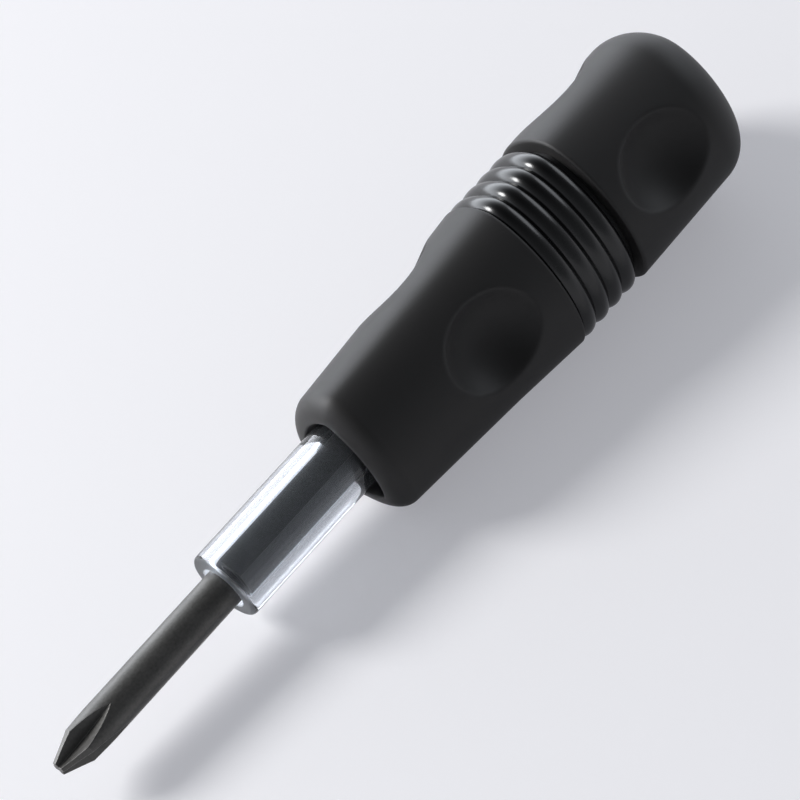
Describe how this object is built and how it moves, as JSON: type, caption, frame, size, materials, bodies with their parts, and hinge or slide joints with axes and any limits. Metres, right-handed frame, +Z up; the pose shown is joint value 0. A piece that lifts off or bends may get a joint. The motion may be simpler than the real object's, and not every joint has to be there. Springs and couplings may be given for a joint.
{
  "type": "pocket screwdriver",
  "caption": "Short screwdriver with a three-lobed soft grip, ribbed band, pull-off rear cap and a reversible blade held in a clear guide sleeve.",
  "frame": {"origin": "on the surface the screwdriver lies on, under the middle of its length", "axes": "+X along the blade axis towards the rear cap, +Z up, a flat of the three-lobed grip facing down"},
  "size_m": [0.139, 0.0272, 0.0276],
  "materials": {
    "soft_grip": "matte soft-touch",
    "rib_gloss": "glossy moulded",
    "hard_black": "satin moulded",
    "clear": "clear polished",
    "steel": "plain turned",
    "nylon": "natural moulded",
    "seal_rubber": "smooth",
    "black_oxide": "black oxide"
  },
  "bodies": {
    "handle": {"front_grip": "soft_grip", "core_tube": "hard_black", "rib_band": "rib_gloss", "parting_ring": "hard_black", "clear_sleeve": "clear", "drive_bush": "steel", "bush_pins": "steel", "snap_ring": "steel", "rear_guide": "nylon", "core_plug": "hard_black", "cap_key": "steel", "cap_seal": "seal_rubber"},
    "blade": {"blade": "black_oxide"},
    "cap": {"rear_cap": "soft_grip", "cap_liner": "hard_black"}
  },
  "joints": [
    {"name": "blade_pull", "type": "slide", "parent": "handle", "child": "blade", "axis": [-1, 0, 0], "range_m": [0, 0.087]},
    {"name": "cap_pull", "type": "slide", "parent": "handle", "child": "cap", "axis": [1, 0, 0], "range_m": [0, 0.016]}
  ]
}
